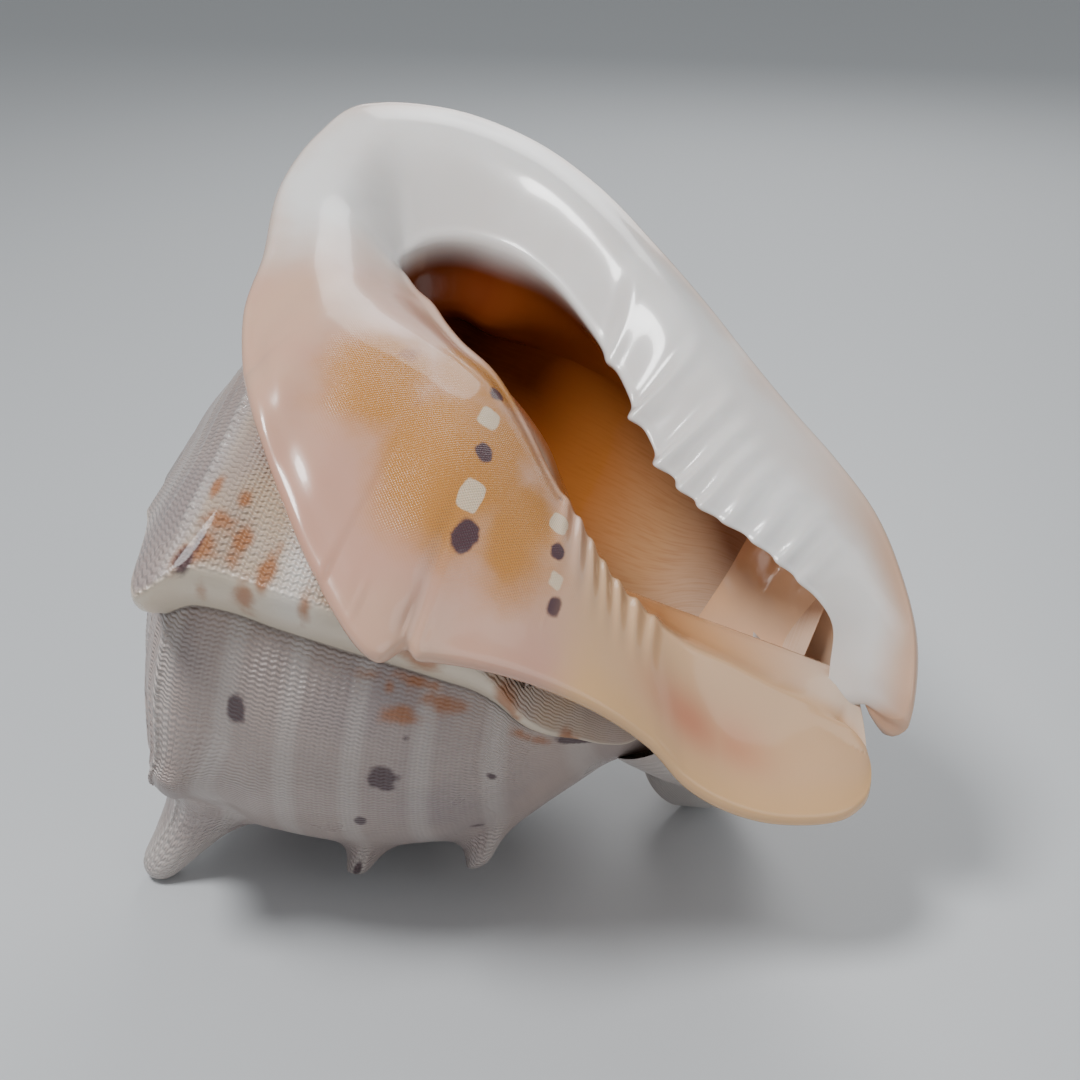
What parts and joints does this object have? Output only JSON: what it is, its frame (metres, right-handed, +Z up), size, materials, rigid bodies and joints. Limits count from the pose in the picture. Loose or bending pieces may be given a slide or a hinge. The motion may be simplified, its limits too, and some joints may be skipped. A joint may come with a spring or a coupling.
{
  "type": "helmet shell",
  "caption": "Horned helmet sea shell lying on its back, with a long toothed opening, a broad glossy shield, shoulder horns and a bent canal.",
  "frame": {"origin": "centre of the bounding box, at the surface that the shell rests on", "axes": "+Z up; the camera of the picture looks along +Y; the spire is towards -X and the canal towards +X; the opening faces up and towards -Y"},
  "size_m": [0.2136, 0.2022, 0.1971],
  "materials": {
    "shell": "polished lip and shield, finely rippled satin whorl"
  },
  "bodies": {
    "root": {"shell": "shell"}
  },
  "joints": []
}
